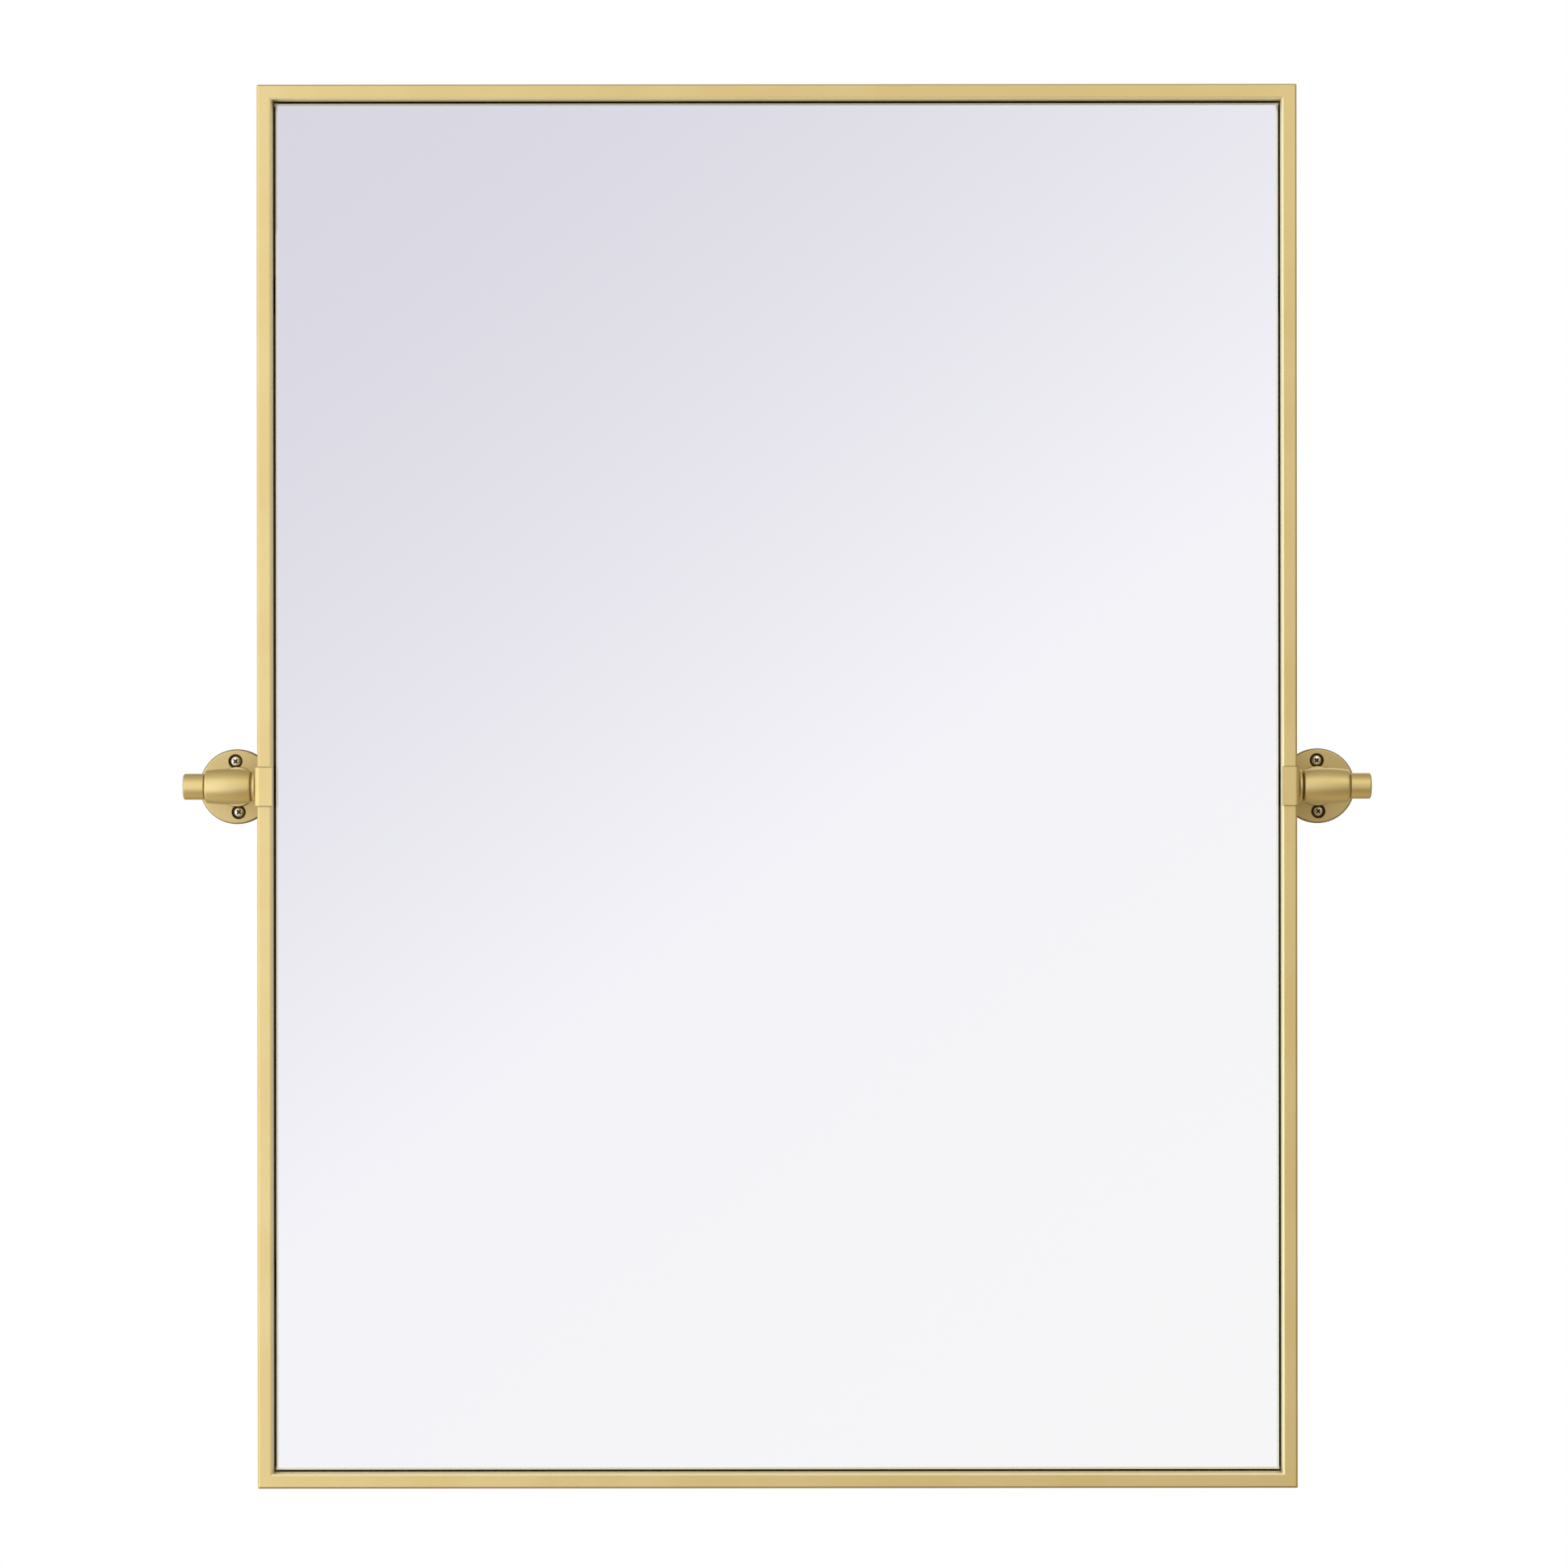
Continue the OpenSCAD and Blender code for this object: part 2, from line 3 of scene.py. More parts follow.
import bmesh
import bpy
from bpy.props import FloatProperty, FloatVectorProperty, IntProperty, PointerProperty
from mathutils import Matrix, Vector


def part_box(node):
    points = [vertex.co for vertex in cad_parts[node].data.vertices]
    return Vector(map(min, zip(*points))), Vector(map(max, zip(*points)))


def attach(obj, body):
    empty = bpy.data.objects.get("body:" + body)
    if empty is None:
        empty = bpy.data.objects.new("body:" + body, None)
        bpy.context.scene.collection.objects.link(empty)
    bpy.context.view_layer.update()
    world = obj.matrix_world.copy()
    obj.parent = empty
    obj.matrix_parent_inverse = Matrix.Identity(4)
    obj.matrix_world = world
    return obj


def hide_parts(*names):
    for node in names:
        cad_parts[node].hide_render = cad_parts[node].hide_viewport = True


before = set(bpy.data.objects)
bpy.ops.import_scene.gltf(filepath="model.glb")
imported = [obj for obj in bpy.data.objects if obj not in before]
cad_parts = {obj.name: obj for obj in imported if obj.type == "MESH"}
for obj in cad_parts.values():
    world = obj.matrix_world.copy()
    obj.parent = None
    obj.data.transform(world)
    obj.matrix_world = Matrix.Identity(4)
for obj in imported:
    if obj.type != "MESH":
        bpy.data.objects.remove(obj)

bl_info = {
    "name": "Pivot wall mirror",
    "version": (1, 0, 0),
    "blender": (4, 5, 0),
    "location": "3D View > Sidebar > Mirror",
    "description": "Finishes, screw threads, welds and a studio for the pivot wall mirror",
    "category": "Object",
}

MM = 0.001
PANEL_BODY = "mirror_panel"
BRACKET_BODY = "wall_brackets"
SIDES = {"left": -1, "right": 1}
WHITE = (1.0, 1.0, 1.0)

# In metres: how near vertices are taken for one, and how deep the finishes' relief is
SAME_PLACE = 1e-6
FINE_RELIEF = 0.00003
COARSE_RELIEF = 0.0001


# ---------- places read from the frame ----------


def middle(node):
    """Centre of a CAD node's box, in metres."""
    low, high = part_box(node)
    return (low + high) / 2


# In metres
BRACKET_X = middle("right_rosette").x
PIVOT_Y = middle("right_knob").y
SCREW_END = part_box("right_wall_screws")[1].y
GLASS_LOW, GLASS_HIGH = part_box("mirror_glass")
FRAME_LOW, FRAME_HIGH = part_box("top_rail")
CLIP_LOW, CLIP_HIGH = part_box("right_clip")
ROSETTE_LOW, ROSETTE_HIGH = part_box("right_rosette")

# In millimetres, for the finishes. OPENING has half the frame's opening along x and along z, and
# FOOT_RADIUS is that of an arm's foot on its rosette.
GLASS_FACE = GLASS_LOW.y / MM
GLASS_BACK = GLASS_HIGH.y / MM
RAIL_FACE = FRAME_LOW.y / MM
FRAME_SIDE = FRAME_HIGH.x / MM
FRAME_TOP = FRAME_HIGH.z / MM
OPENING = {0: -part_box("left_rail")[1].x / MM, 2: FRAME_LOW.z / MM}
CLIP_HALF = (CLIP_HIGH.z - CLIP_LOW.z) / 2 / MM
KNOB_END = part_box("right_knob")[1].x / MM
ROSETTE_FACE = ROSETTE_LOW.y / MM
ROSETTE_RADIUS = (ROSETTE_HIGH.x - ROSETTE_LOW.x) / 2 / MM
FOOT_RADIUS = 11.5


# ---------- settings ----------


def colour_of(name, description, default, top=1.0):
    """A colour setting."""
    return FloatVectorProperty(
        name=name, description=description, default=default,
        size=3, min=0, max=top, subtype="COLOR",
    )


def glow_of(name, description, default):
    """A light's colour, which can be stronger than white."""
    return colour_of(name, description, default, top=4)


def length_of(name, description, default, low=0.0):
    """A length setting, in metres."""
    return FloatProperty(
        name=name, description=description, default=default, min=low,
        precision=5, subtype="DISTANCE", unit="LENGTH",
    )


def angle_of(name, description, default):
    """An angle setting, in radians."""
    return FloatProperty(
        name=name, description=description, default=default,
        precision=5, subtype="ANGLE", unit="ROTATION",
    )


def power_of(name, description, default):
    """The power of a lamp, in watts."""
    return FloatProperty(
        name=name, description=description, default=default, min=0, unit="POWER",
    )


def share_of(name, description, default, top=1.0):
    """A plain number from 0 to top."""
    return FloatProperty(
        name=name, description=description, default=default, min=0, max=top,
        subtype="FACTOR" if top == 1 else "NONE",
    )


class GoldFinish(bpy.types.PropertyGroup):
    """Satin gold plating of the frame and the brackets."""

    light: colour_of("Light gold", "Tone of the lighter clouds in the plating", (0.80, 0.64, 0.31))
    deep: colour_of("Deep gold", "Tone of the deeper clouds in the plating", (0.77, 0.605, 0.28))
    # Painted shade: the recess brown darkens counterbores, gaps beside the glass, clip and knob
    # edges, foot lines and outer roundings.
    recess: colour_of("Recess", "Brown of the counterbores, edges and corners", (0.12, 0.08, 0.022))
    # Painted highlight: the worn edge colour and its matt share lighten the opening's rounded
    # edges.
    wear_and_highlight: colour_of("Worn edge", "Pale ground edges of the opening", (0.93, 0.86, 0.56))
    highlight_matt: share_of("Worn matt", "How matt the ground edges are", 0.65)
    roughness: share_of("Roughness", "Roughness between brush marks", 0.47)
    brushing: share_of("Brushing", "How much the brush marks roughen the plating", 0.06)
    relief: share_of("Relief", "Strength of the brush marks' relief", 0.16)
    arm_tone: share_of("Arm tone", "Brightness of arms and knobs against the frame", 0.95)
    rosette_tone: share_of("Rosette tone", "Brightness of the rosettes against the frame", 0.87)
    clip_edge: length_of("Clip edge", "Rounding of the clips' sheared edges", 0.00025)


class SmallParts(bpy.types.PropertyGroup):
    """Finishes of screws, tabs, washers, board, tape and bumpers."""

    screw: colour_of("Screw plating", "Bright plating of the wall screws", (0.95, 0.90, 0.78))
    # The screw recess colour is dirt in the scratches and painted shade down in the cross recess.
    screw_dirt_and_shade: colour_of("Screw recess", "Tone down in the cross recess", (0.10, 0.075, 0.035))
    zinc: colour_of("Zinc", "Zinc plating of tabs, nuts and studs", (0.66, 0.67, 0.69))
    zinc_blue: colour_of("Zinc tint", "Blue cast in the zinc's patches", (0.55, 0.58, 0.64))
    # Painted light and shade: the right friction washer's dark nylon also stands for shade, and the
    # left friction washer and knob washers take a lighter copy, lit.
    nylon: colour_of("Nylon", "Nylon of the right and the clips' washers", (0.060, 0.042, 0.018))
    tan_nylon: colour_of("Tan nylon", "Nylon of the left and knobs' washers", (0.30, 0.22, 0.11))
    board: colour_of("Board paint", "Black paint of the backing board", (0.022, 0.021, 0.020))
    board_wear: colour_of("Board wear", "Scuffed paint of the board", (0.055, 0.050, 0.045))
    tape: colour_of("Tape", "Foam tape", (0.035, 0.035, 0.038))
    rubber: colour_of("Rubber", "Clear rubber of the bumpers", (0.82, 0.86, 0.88))
    weld: colour_of("Weld", "Bare weld bead on the tabs", (0.42, 0.38, 0.33))


class GlassFinish(bpy.types.PropertyGroup):
    """The silvered glass."""

    silver: colour_of("Silver", "What the silvering reflects", (0.93, 0.935, 0.94))
    seam: colour_of("Seam", "Ground seam on the front edges", (0.90, 0.905, 0.89))
    # The dull seam tone is random mottling of the seam and, along the top and at the upper left
    # corner, a painted reflection.
    seam_dull: colour_of("Dull seam", "Seam where it is ground coarser", (0.26, 0.28, 0.21))
    edge: colour_of("Edge", "Cut edge of the glass", (0.10, 0.19, 0.145))
    paint: colour_of("Back paint", "Paint over the silvering", (0.22, 0.235, 0.24))


class ThreadForm(bpy.types.PropertyGroup):
    """Thread of the wall screws, behind the wall's surface."""

    crest: length_of("Crest diameter", "Outside diameter of the thread", 0.0035)
    core: length_of("Core diameter", "Diameter between the turns", 0.0024)
    pitch: length_of("Pitch", "Travel in one turn", 0.00135)
    tip: length_of("Tip length", "Length over which the thread runs to its point", 0.00455)
    circle: length_of("Screw circle", "Distance between a rosette's two screws", 0.030)
    lean_left: angle_of("Left lean", "Lean of the left screws' line", math.radians(3.6))
    lean_right: angle_of("Right lean", "Lean of the right screws' line", math.radians(1.7))
    sides: IntProperty(name="Sides", description="Faces round the thread", default=28, min=12)
    steps: IntProperty(name="Steps", description="Rows of faces in one turn", default=10, min=6)


class WeldForm(bpy.types.PropertyGroup):
    """Weld beads between the board tabs and the rails."""

    leg: length_of("Leg", "Size of the bead against tab and rail", 0.0013)
    ripple: length_of("Ripple", "Distance between two ripples", 0.0014)
    length: length_of("Length", "Length of a bead", 0.014)


class StudioLight(bpy.types.PropertyGroup):
    """Lamps and surroundings."""

    key: power_of("Key", "Power of the key lamp, upper left", 1.4)
    low: power_of("Low", "Power of the low lamp, lower left", 2.5)
    high: power_of("High", "Power of the high lamp, upper right", 1.3)
    rear: power_of("Rear", "Power of the rear lamp", 6)
    key_tint: colour_of("Key tint", "Colour of the key lamp", (0.81, 0.87, 1.0))
    low_tint: colour_of("Low tint", "Colour of the low lamp", (0.83, 0.885, 1.0))
    high_tint: colour_of("High tint", "Colour of the high lamp", (0.83, 0.885, 1.0))
    rear_tint: colour_of("Rear tint", "Colour of the rear lamp", WHITE)
    left: glow_of("Left", "Surroundings in front, to the left", (1.14, 1.19, 1.27))
    centre: glow_of("Centre", "Surroundings straight in front", (1.03, 0.98, 0.69))
    right: glow_of("Right", "Surroundings in front, to the right", (0.67, 0.595, 0.45))
    corner: glow_of("Corner", "Surroundings in front, low on the right", (0.275, 0.215, 0.085))
    rim_left: glow_of("Rim left", "Surroundings square to the left", (1.45, 1.46, 1.36))
    rim_right: glow_of("Rim right", "Surroundings square to the right", (0.35, 0.31, 0.23))
    rim_up: glow_of("Rim up", "Surroundings overhead", (0.53, 0.505, 0.45))
    rim_down: glow_of("Rim down", "Surroundings underneath", (0.67, 0.59, 0.425))
    behind: glow_of("Behind", "Surroundings behind", (0.42, 0.38, 0.3))
    dim: colour_of("Dim end", "Upper left of what the glass reflects", (0.735, 0.722, 0.803))
    mid: colour_of("Middle", "Middle of what the glass reflects", (0.965, 0.953, 1.0))
    bright: colour_of("Bright end", "Lower right of what the glass reflects", (0.992, 0.985, 0.994))
    calm_low: colour_of("Calm low", "Dim end of the glass's side sweeps", (0.64, 0.635, 0.68))
    calm_high: colour_of("Calm high", "Bright end of those sweeps", (0.92, 0.92, 0.95))
    sweeps: share_of("Sweeps", "How close together those sweeps are", 4.2, top=20)
    floor: colour_of("Floor", "Colour of the floor", (0.82, 0.80, 0.75))
    floor_drop: length_of("Floor drop", "Height of the pivot over the floor", 0.80)
    floor_radius: length_of("Floor radius", "Radius of the floor", 1.02)
    floor_haze: share_of("Floor haze", "How much white shows through the floor", 0.55)


class CameraPlace(bpy.types.PropertyGroup):
    """The photograph's camera, fitted to the frame's corners."""

    distance: length_of("Distance", "From the frame's front to the camera", 2.82424)
    across: length_of("Across", "Camera's place along X", 0.00394, low=-1.0)
    height: length_of("Height", "Camera's place along Z", 0.00131, low=-1.0)
    sensor: FloatProperty(name="Sensor", description="Sensor's width", default=36, unit="CAMERA")
    lens: FloatProperty(name="Lens", description="Focal length", default=112.435, unit="CAMERA")
    roll: angle_of("Roll", "Roll of the camera", 0.0009)


# ---------- shader maths ----------


class Wire:
    """An output socket that can stand in an expression. Each operator adds its node."""

    def __init__(self, bench, socket):
        self.bench = bench
        self.socket = socket

    def maths(self, operation, first, second=0.0):
        """One operation's node, for vectors where either side is one."""
        wires = [value for value in (first, second) if isinstance(value, Wire)]
        vectors = any(wire.socket.type in ("VECTOR", "RGBA") for wire in wires)
        kind = "ShaderNodeVectorMath" if vectors else "ShaderNodeMath"
        return self.bench.node(kind, {"operation": operation}, {0: first, 1: second})

    def __add__(self, other):
        return self.maths("ADD", self, other)

    def __radd__(self, other):
        return self.maths("ADD", other, self)

    def __sub__(self, other):
        return self.maths("SUBTRACT", self, other)

    def __rsub__(self, other):
        return self.maths("SUBTRACT", other, self)

    def __mul__(self, other):
        return self.maths("MULTIPLY", self, other)

    def __rmul__(self, other):
        return self.maths("MULTIPLY", other, self)

    def __truediv__(self, other):
        return self.maths("DIVIDE", self, other)

    def __rtruediv__(self, other):
        return self.maths("DIVIDE", other, self)

    def __pow__(self, other):
        return self.maths("POWER", self, other)

    def __rpow__(self, other):
        return self.maths("POWER", other, self)

    def __neg__(self):
        return self.maths("MULTIPLY", self, -1.0)

    def __gt__(self, other):
        return self.maths("GREATER_THAN", self, other)

    def __lt__(self, other):
        return self.maths("LESS_THAN", self, other)

    def __abs__(self):
        return self.maths("ABSOLUTE", self)


class Bench:
    """Makes the nodes of one material or world."""

    def __init__(self, tree):
        self.tree = tree
        tree.nodes.clear()

    def node(self, kind, settings=None, inputs=None, output=0):
        """Adds a node: its settings first, then the values or wires of its sockets."""
        made = self.tree.nodes.new(kind)
        for name, value in (settings or {}).items():
            if name == "stops":
                self.set_stops(made.color_ramp, value)
            else:
                setattr(made, name, value)
        for name, value in (inputs or {}).items():
            self.feed(made.inputs[name], value)
        return Wire(self, made.outputs[output]) if made.outputs else made

    def set_stops(self, ramp, stops):
        """Gives a ramp its stops, as (place, colour)."""
        while len(ramp.elements) < len(stops):
            ramp.elements.new(1.0)
        for element, (place, colour) in zip(ramp.elements, stops):
            element.position = place
            element.color = (*colour, 1.0)

    def feed(self, socket, value):
        """Links a wire to a socket, or sets the socket's value."""
        if isinstance(value, Wire):
            self.tree.links.new(value.socket, socket)
        elif socket.type == "RGBA":
            socket.default_value = (*value, 1.0)
        elif socket.type == "VECTOR" and isinstance(value, (int, float)):
            socket.default_value = (value, value, value)
        else:
            socket.default_value = value

    def blend(self, share, first, second):
        """first where share is 0, second where it is 1, for colours."""
        return self.node("ShaderNodeMix", {"data_type": "RGBA"}, {0: share, 6: first, 7: second}, 2)

    def ease(self, value, low, high, start=0.0, end=1.0):
        """start where value is under low, end where it is over high, smooth between."""
        return self.node(
            "ShaderNodeMapRange", {"interpolation_type": "SMOOTHSTEP"},
            {"Value": value, "From Min": low, "From Max": high, "To Min": start, "To Max": end},
        )

    def fall(self, value, low, high):
        """1 where value is under low, 0 where it is over high, smooth between."""
        return self.ease(value, low, high, 1.0, 0.0)

    def halves(self, value, negative, positive):
        """negative on a piece's side where value is under 0, positive on the other side."""
        return self.ease(value, -1.0, 1.0, negative, positive)

    def larger(self, first, second):
        """The larger of two values."""
        return self.node("ShaderNodeMath", {"operation": "MAXIMUM"}, {0: first, 1: second})

    def ray(self, kind):
        """1 for rays of one kind, as the Light Path node names it."""
        return self.node("ShaderNodeLightPath", output=kind)

    def axes(self, vector):
        """The x, y and z of a vector."""
        made = self.node("ShaderNodeSeparateXYZ", None, {0: vector})
        outputs = made.socket.node.outputs
        return [Wire(self, outputs[i]) for i in range(3)]

    def place(self):
        """Place on the piece, in millimetres of the shared frame."""
        return self.node("ShaderNodeTexCoord", output="Object") * (1 / MM)

    def facing(self):
        """Which way the surface faces, in the shared frame."""
        return self.node("ShaderNodeTexCoord", output="Normal")

    def noise(self, place, scale=1.0, detail=2.0, roughness=0.5):
        """Soft noise from 0 to 1. scale is its frequency where place is in millimetres."""
        return self.node(
            "ShaderNodeTexNoise", None,
            {"Vector": place, "Scale": scale, "Detail": detail, "Roughness": roughness},
        )

    def bump(self, height, strength, depth, normal=None):
        """Relief of the given depth in metres, for a Normal socket. normal is what it stands on."""
        inputs = {"Strength": strength, "Distance": depth, "Height": height}
        if normal:
            inputs["Normal"] = normal
        return self.node("ShaderNodeBump", None, inputs)

    def turned_normal(self, share, direction):
        """The surface's normal, turned toward a direction of the piece's own where share is 1."""
        normal = self.node("ShaderNodeNewGeometry", output=1)
        wanted = self.node(
            "ShaderNodeVectorTransform",
            {"vector_type": "NORMAL", "convert_from": "OBJECT", "convert_to": "WORLD"},
            {0: direction},
        )
        mixed = normal * (1.0 - share) + wanted * share
        return self.node("ShaderNodeVectorMath", {"operation": "NORMALIZE"}, {0: mixed})

    def reach(self, place, centre):
        """Distance in millimetres from a line along Y through centre."""
        x, _, z = self.axes(place)
        dx, dz = x - centre[0], z - centre[1]
        return (dx * dx + dz * dz) ** 0.5

    def spot(self, place, centre, radius, soft):
        """1 within radius of a line along Y through centre, in millimetres."""
        return self.fall(self.reach(place, centre), radius - soft, radius)

    def band(self, value, low, high, soft):
        """1 where value is between low and high."""
        return self.ease(value, low - soft, low) * self.fall(value, high, high + soft)


def principled(bench, **sockets):
    """The material's shader; an underscore in a name stands for a space."""
    inputs = {name.replace("_", " "): value for name, value in sockets.items()}
    shader = bench.node("ShaderNodeBsdfPrincipled", None, inputs)
    bench.node("ShaderNodeOutputMaterial", None, {"Surface": shader})


def new_finish(name):
    """A new material and its bench."""
    material = bpy.data.materials.new(name)
    material.use_nodes = True
    return material, Bench(material.node_tree)


def toned(colour, factor):
    """A colour made darker or lighter by a factor."""
    return tuple(factor * channel for channel in colour)


# ---------- finishes ----------


def satin_gold(name, brush, shade=None, wear_and_highlight=None, tone=1.0):
    """Satin plating. brush has the marks' frequency along x, y and z, in marks a millimetre.

    shade gives, for a bench and a place, where painted shade browns the plating, as in corners,
    gaps and recesses; the next argument gives, the same way, where a pale painted highlight lies,
    as round the opening. tone darkens the whole finish.
    """
    grain_roughening, shade_roughening = 0.05, 0.15
    gold = bpy.context.scene.mirror_gold
    material, bench = new_finish(name)
    place = bench.place()
    marks = bench.noise(place * Vector(brush), detail=3.0, roughness=0.6)
    grain = bench.noise(place, scale=2.6, detail=3.0, roughness=0.6)
    cloud = bench.noise(place, scale=0.02)
    light, deep = toned(gold.light, tone), toned(gold.deep, tone)
    colour = bench.blend(bench.ease(cloud, 0.35, 0.65), light, deep)
    colour = bench.blend(bench.ease(marks, 0.55, 0.9, end=0.25), colour, deep)
    rough = gold.roughness + (marks - 0.5) * gold.brushing
    rough = rough + (grain - 0.5) * grain_roughening
    metal = 1.0
    if shade:
        # Painted shade: where shade falls the plating is blended toward the recess brown and
        # roughened.
        painted_shade = shade(bench, place)
        colour = bench.blend(painted_shade, colour, gold.recess)
        rough = rough + painted_shade * shade_roughening
    if wear_and_highlight:
        # Painted highlight: round the opening the plating is blended to the pale edge colour and
        # made less metallic, so it shows brighter.
        pale = wear_and_highlight(bench, place)
        colour = bench.blend(pale, colour, gold.wear_and_highlight)
        metal = 1.0 - pale * gold.highlight_matt
    relief = bench.bump(marks * 0.6 + grain * 0.4, gold.relief, FINE_RELIEF)
    principled(bench, Base_Color=colour, Metallic=metal, Roughness=rough, Normal=relief)
    return material


def gap_shade(bench, place, axis):
    """Painted shade: 1 on the part of a rail's inner wall that is down beside the glass, in the
    gap.
    """
    behind_edge, full, soft = 0.2, 0.5, 0.4
    axes = bench.axes(place)
    wall = bench.fall(abs(axes[axis]), OPENING[axis] + behind_edge, OPENING[axis] + full)
    return bench.band(axes[1], GLASS_FACE + soft, GLASS_BACK, soft) * wall


def upright_shade(bench, place):
    """Painted shade beside the glass, along the clips' edges and, faintly, on the left rail's
    outside.
    """
    line_width, line_soft, line_strength = 0.35, 0.25, 0.30
    rounding_start, rounding_full, rounding_strength = 1.2, 0.3, 0.12
    left_gap, right_gap = 0.95, 0.6
    x, _, z = bench.axes(place)
    clip_line = bench.band(abs(z), CLIP_HALF, CLIP_HALF + line_width, line_soft) * line_strength
    outer = bench.ease(
        -x, FRAME_SIDE - rounding_start, FRAME_SIDE - rounding_full, end=rounding_strength,
    )
    # The gap's painted shade is stronger on the left rail than on the right.
    gap = gap_shade(bench, place, 0) * bench.halves(x, left_gap, right_gap)
    return clip_line + outer + gap


def level_shade(bench, place):
    """Painted shade beside the glass and on the outer roundings, most on the bottom rail's."""
    rounding_start, rounding_full = 1.25, 0.3
    bottom_strength, top_strength = 0.55, 0.25
    z = bench.axes(place)[2]
    outer = bench.ease(abs(z), FRAME_TOP - rounding_start, FRAME_TOP - rounding_full)
    outer = outer * bench.halves(z, bottom_strength, top_strength)
    return outer + gap_shade(bench, place, 2)


def opening_highlight(axis, wall):
    """Painted highlight on a rail's edge round the opening: full on the rounding, less (wall)
    behind it.
    """
    inner_start, inner_end, inner_strength = 0.5, 1.1, 0.9
    rounding_start, rounding_end, glass_fade = 0.8, 1.8, 1.0

    def wear_and_highlight(bench, place):
        axes = bench.axes(place)
        depth = axes[1]
        inner = bench.ease(
            abs(axes[axis]), OPENING[axis] + inner_start, OPENING[axis] + inner_end,
            inner_strength, 0.0,
        )
        front = bench.fall(depth, GLASS_FACE, GLASS_FACE + glass_fade)
        return inner * front * bench.ease(
            depth, RAIL_FACE + rounding_start, RAIL_FACE + rounding_end, 1.0, wall,
        )

    return wear_and_highlight


def clip_shade(bench, place):
    """Painted shade line along a clip's sheared edges."""
    line_start, line_full, strength = 0.55, 0.05, 0.35
    z = bench.axes(place)[2]
    return bench.ease(abs(z), CLIP_HALF - line_start, CLIP_HALF - line_full) * strength


def turned_shade(bench, place):
    """Painted shade round each knob's outer end, but not on the end's flat face."""
    edge_start, edge_full, strength = 0.9, 0.3, 0.45
    x = bench.axes(place)[0]
    flank = bench.fall(abs(bench.axes(bench.facing())[0]), 0.5, 0.8)
    return bench.ease(abs(x), KNOB_END - edge_start, KNOB_END - edge_full, end=strength) * flank


def rosette_shade(side):
    """Painted shade in a rosette's counterbores, foot line and rim, the lines on its front alone.

    The left rosette's foot line, a painted shadow, is darkest low on the right.
    """
    bore_radius, bore_soft = 4.5, 0.2
    line_width, line_soft, right_strength = 0.4, 0.3, 0.35
    rim_start, rim_full, rim_strength = 0.7, 0.2, 0.90
    centre = (SIDES[side] * BRACKET_X / MM, 0.0)
    screws = screw_centres(side, MM)

    def shade(bench, place):
        x, y, z = bench.axes(place)
        depth = y - ROSETTE_FACE
        # Painted shade down in the screws' counterbores.
        bores = sum(bench.spot(place, screw, bore_radius, bore_soft) for screw in screws)
        bores = bores * bench.ease(depth, 0.1, 0.5)
        away = bench.reach(place, centre)
        # Painted shadow round the arm's foot.
        foot = bench.band(away, FOOT_RADIUS, FOOT_RADIUS + line_width, line_soft)
        if side == "left":
            low_right = x - centre[0] - z
            foot = foot * bench.ease(low_right, 6.0, 14.0, 0.4, 0.95)
        else:
            foot = foot * right_strength
        foot = foot * bench.fall(depth, 0.2, 0.6)
        # Painted shade on the rounded rim.
        rim = bench.ease(
            away, ROSETTE_RADIUS - rim_start, ROSETTE_RADIUS - rim_full, end=rim_strength,
        )
        rim = rim * bench.ease(depth, 0.9, 1.5, 1.0, 0.25)
        return bores + foot * (1.0 - bores) + rim

    return shade


def screw_plating(name, centres):
    """Bright plating of the wall screws, with painted shade down in the cross recess and dull on
    the thread.
    """
    recess_radius, recess_soft = 1.75, 0.25
    small = bpy.context.scene.mirror_small
    material, bench = new_finish(name)
    place = bench.place()
    depth = bench.axes(place)[1]
    scratches = bench.noise(place * Vector((9.0, 2.0, 1.2)), detail=3.0)
    inside = sum(bench.spot(place, centre, recess_radius, recess_soft) for centre in centres)
    # Painted shade down in the cross recess.
    sunk = bench.ease(depth - ROSETTE_FACE, 0.50, 0.95) * inside
    thread = bench.ease(depth, -0.5, 0.5)
    colour = bench.blend(sunk, small.screw, small.screw_dirt_and_shade)
    colour = bench.blend(thread * 0.5, colour, small.zinc)
    colour = bench.blend(bench.ease(scratches, 0.5, 0.8, end=0.1), colour, small.screw_dirt_and_shade)
    rough = 0.27 + scratches * 0.12 + sunk * 0.3
    relief = bench.bump(scratches, 0.15, FINE_RELIEF)
    principled(bench, Base_Color=colour, Metallic=1.0, Roughness=rough, Normal=relief)
    return material


def zinc_plate(name):
    """Bright zinc with faint blue patches and fine grain."""
    small = bpy.context.scene.mirror_small
    material, bench = new_finish(name)
    place = bench.place()
    patches = bench.noise(place, scale=0.25, detail=3.0)
    colour = bench.blend(bench.ease(patches, 0.35, 0.65), small.zinc, small.zinc_blue)
    rough = 0.30 + patches * 0.15
    relief = bench.bump(bench.noise(place, scale=5.0), 0.2, FINE_RELIEF)
    principled(bench, Base_Color=colour, Metallic=1.0, Roughness=rough, Normal=relief)
    return material


def moulded_nylon(name, tone):
    """Nylon with the fine bloom of a moulded part."""
    material, bench = new_finish(name)
    place = bench.place()
    bloom = bench.noise(place, scale=1.1, detail=3.0)
    colour = bench.blend(bench.ease(bloom, 0.4, 0.7), tone, toned(tone, 1.4))
    relief = bench.bump(bench.noise(place, scale=6.0), 0.2, FINE_RELIEF)
    principled(bench, Base_Color=colour, Roughness=0.42 + bloom * 0.15, Normal=relief)
    return material


